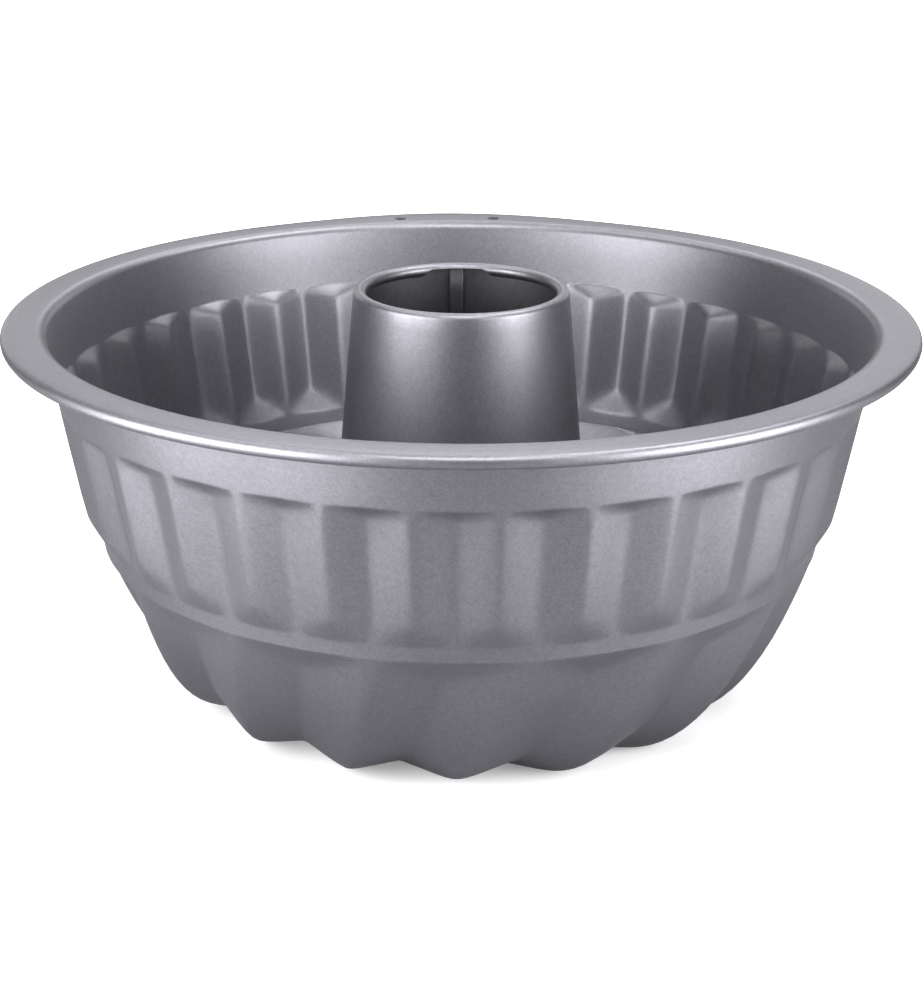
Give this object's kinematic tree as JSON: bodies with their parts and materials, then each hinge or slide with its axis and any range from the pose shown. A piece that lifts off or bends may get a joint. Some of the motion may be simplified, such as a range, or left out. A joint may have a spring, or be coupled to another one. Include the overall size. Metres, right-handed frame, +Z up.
{
  "type": "bundt pan",
  "caption": "Fluted ring cake pan with upright upper flutes, a swirled fluted base, a flat rolled rim with hanging holes and a tapered open centre tube.",
  "frame": {"origin": "on the centre tube's axis, in the plane that the lowest flutes stand on", "axes": "+Z up along the tube, out of the pan's open side; +Y from the axis through the middle of the two hanging holes; +X to the right seen from the side opposite the holes"},
  "size_m": [0.2418, 0.2453, 0.111],
  "materials": {
    "nonstick_steel": "satin metallic grey non-stick coating on thin steel sheet, very fine grain",
    "rim_wire_steel": "plain drawn steel wire"
  },
  "bodies": {
    "root": {"pan_body": "nonstick_steel", "centre_tube": "nonstick_steel", "rim_wire": "rim_wire_steel"}
  },
  "joints": []
}
